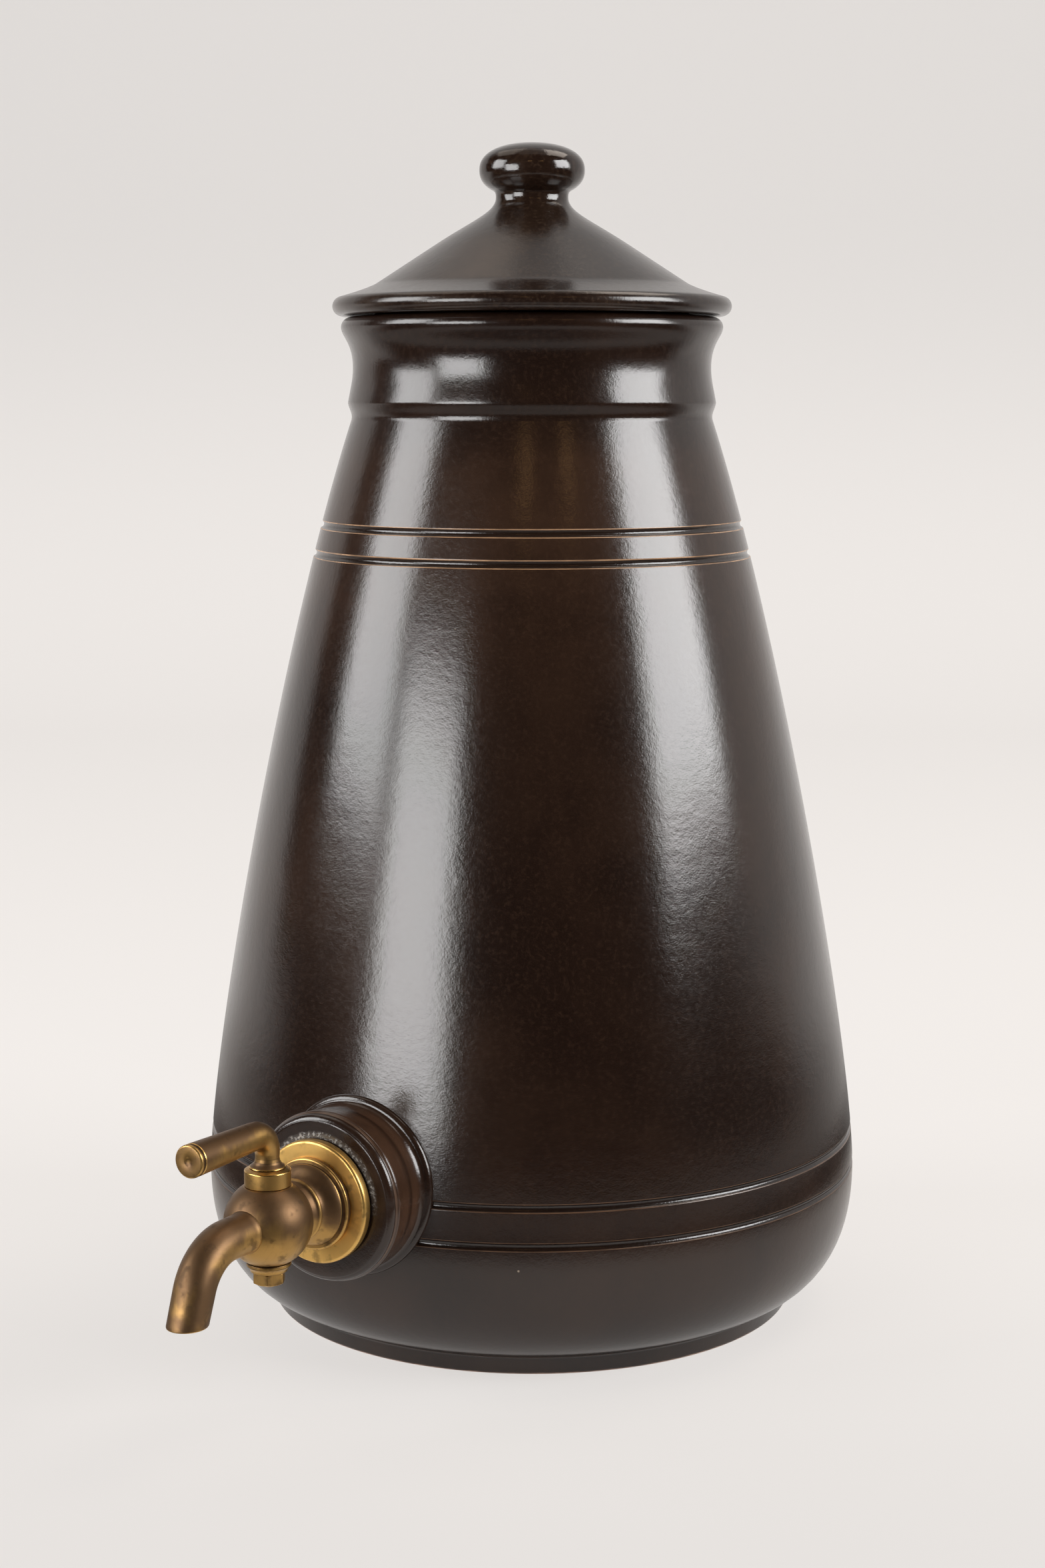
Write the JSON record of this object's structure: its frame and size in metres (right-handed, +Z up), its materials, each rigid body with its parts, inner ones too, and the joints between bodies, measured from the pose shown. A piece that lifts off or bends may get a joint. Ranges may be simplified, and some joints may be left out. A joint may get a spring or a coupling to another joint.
{
  "type": "clay water pot with tap",
  "caption": "Glazed clay water pot with a loose knobbed lid and a small brass plug tap screwed into a round boss near its foot.",
  "frame": {"origin": "on the pot's own axis, in the plane of the foot ring's standing face", "axes": "+Z up along the pot's axis; the tap points along -Y"},
  "size_m": [0.1748, 0.2436, 0.3072],
  "materials": {
    "glaze": "gloss",
    "brass": "satin",
    "bright_brass": "satin",
    "seal_rubber": "matte"
  },
  "bodies": {
    "pot": {"pot_body": "glaze", "tap_body": "brass", "spout": "brass", "cover_ring": "bright_brass", "front_seal": "seal_rubber", "back_seal": "seal_rubber", "backing_washer": "bright_brass", "lock_nut": "bright_brass"},
    "lid": {"lid": "glaze"},
    "valve": {"plug": "bright_brass", "lever_handle": "brass", "plug_washer": "bright_brass", "plug_nut": "bright_brass"}
  },
  "joints": [
    {"name": "lid_lift", "type": "slide", "parent": "pot", "child": "lid", "axis": [0, 0, 1], "range_m": [0, 0.06]},
    {"name": "valve_turn", "type": "hinge", "parent": "pot", "child": "valve", "pos_m": [0, -0.1202, 0.05], "axis": [0, 0, 1], "range_deg": [-90, 90]}
  ]
}
